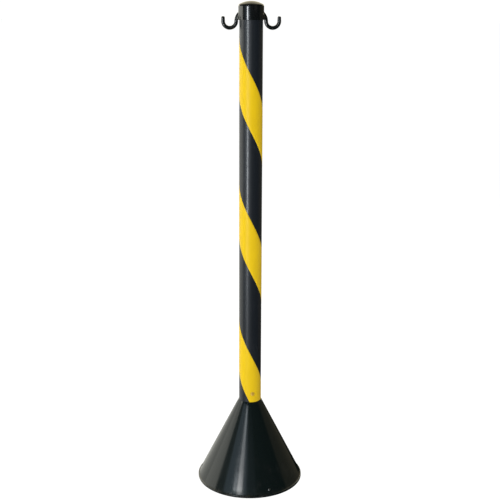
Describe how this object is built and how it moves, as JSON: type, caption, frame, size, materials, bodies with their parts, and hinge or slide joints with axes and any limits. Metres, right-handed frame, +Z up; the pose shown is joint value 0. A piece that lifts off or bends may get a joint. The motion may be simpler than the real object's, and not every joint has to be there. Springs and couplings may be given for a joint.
{
  "type": "rope barrier post",
  "caption": "Striped plastic crowd-barrier post on a weighted cone base, with a swivelling cap whose open hooks take a rope or chain.",
  "frame": {"origin": "middle of the cone base on the floor, on the post's axis", "axes": "+Z up along the pipe, +X and -X towards the hooks, -Y towards the side with the pipe's screw"},
  "size_m": [0.2406, 0.2406, 1.0816],
  "materials": {
    "cone_plastic": "glossy moulded black plastic",
    "concrete": "rough cast concrete",
    "cover_plastic": "matt moulded black plastic",
    "screw_steel": "plain zinc-plated steel",
    "tube_plastic": "semi-gloss extruded black plastic",
    "yellow_tape": "smooth yellow vinyl film",
    "yellow_zinc": "steel with yellow passivated zinc",
    "cap_plastic": "glossy moulded black plastic"
  },
  "bodies": {
    "post": {"base_cone": "cone_plastic", "ballast": "concrete", "base_cover": "cover_plastic", "cover_screws": "screw_steel", "tube": "tube_plastic", "stripe_tape": "yellow_tape", "tube_screw": "yellow_zinc"},
    "cap": {"hook_cap": "cap_plastic"}
  },
  "joints": [
    {"name": "cap_swivel", "type": "hinge", "parent": "post", "child": "cap", "pos_m": [0, 0, 1.066], "axis": [0, 0, 1], "continuous": true}
  ]
}
